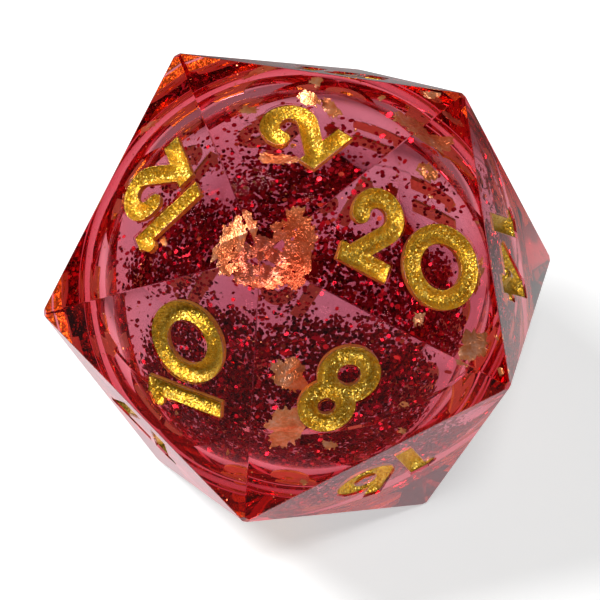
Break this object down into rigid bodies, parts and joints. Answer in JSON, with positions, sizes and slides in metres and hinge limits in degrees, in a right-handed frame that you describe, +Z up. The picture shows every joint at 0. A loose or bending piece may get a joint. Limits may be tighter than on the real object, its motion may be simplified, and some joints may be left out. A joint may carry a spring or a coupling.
{
  "type": "liquid-core polyhedral die",
  "caption": "Twenty-sided playing die of clear crimson resin with a liquid-filled glitter core, cast-in copper leaf and engraved gold numbers.",
  "frame": {"origin": "centre of the face marked 19, which the die stands on", "axes": "+Z up through the face marked 2; -Y towards the corner shared by 2, 20, 8, 10 and 12"},
  "size_m": [0.0236, 0.027, 0.022],
  "materials": {
    "crimson_resin": "clear cast epoxy resin, polished, crimson",
    "clear_shell": "clear, smooth",
    "tinted_liquid": "red-tinted clear liquid",
    "red_glitter": "metallised hexagonal flakes, mirror-like",
    "gold_paint": "metallic gold paint, dished, fine grain",
    "copper_leaf": "crumpled copper leaf"
  },
  "bodies": {
    "casting": {"resin_body": "crimson_resin", "core_shell_upper": "clear_shell", "core_shell_lower": "clear_shell", "fill_plug": "clear_shell", "numeral_01": "gold_paint", "numeral_02": "gold_paint", "numeral_03": "gold_paint", "numeral_04": "gold_paint", "numeral_05": "gold_paint", "numeral_06": "gold_paint", "numeral_07": "gold_paint", "numeral_08": "gold_paint", "numeral_09": "gold_paint", "numeral_10": "gold_paint", "numeral_11": "gold_paint", "numeral_12": "gold_paint", "numeral_13": "gold_paint", "numeral_14": "gold_paint", "numeral_15": "gold_paint", "numeral_16": "gold_paint", "numeral_17": "gold_paint", "numeral_18": "gold_paint", "numeral_19": "gold_paint", "numeral_20": "gold_paint", "copper_leaf_01": "copper_leaf", "copper_leaf_02": "copper_leaf", "copper_leaf_03": "copper_leaf", "copper_leaf_04": "copper_leaf", "copper_leaf_05": "copper_leaf", "copper_leaf_06": "copper_leaf", "copper_leaf_07": "copper_leaf", "copper_leaf_08": "copper_leaf", "copper_leaf_09": "copper_leaf", "copper_leaf_10": "copper_leaf", "copper_leaf_11": "copper_leaf", "copper_leaf_12": "copper_leaf", "copper_leaf_13": "copper_leaf", "copper_leaf_14": "copper_leaf", "copper_leaf_15": "copper_leaf", "copper_leaf_16": "copper_leaf", "copper_leaf_17": "copper_leaf", "copper_leaf_18": "copper_leaf", "copper_leaf_19": "copper_leaf", "copper_leaf_20": "copper_leaf", "copper_leaf_21": "copper_leaf", "copper_leaf_22": "copper_leaf", "copper_leaf_23": "copper_leaf", "copper_leaf_24": "copper_leaf", "copper_leaf_specks": "copper_leaf"},
    "liquid": {"core_liquid": "tinted_liquid", "glitter_suspended": "red_glitter"},
    "settled_glitter": {"glitter_settled": "red_glitter"}
  },
  "joints": [
    {"name": "liquid_swirl", "type": "hinge", "parent": "casting", "child": "liquid", "pos_m": [0, 0, 0.011], "axis": [0, 0, 1], "continuous": true},
    {"name": "glitter_roll", "type": "hinge", "parent": "liquid", "child": "settled_glitter", "pos_m": [0, 0, 0.011], "axis": [1, 0, 0], "continuous": true}
  ]
}
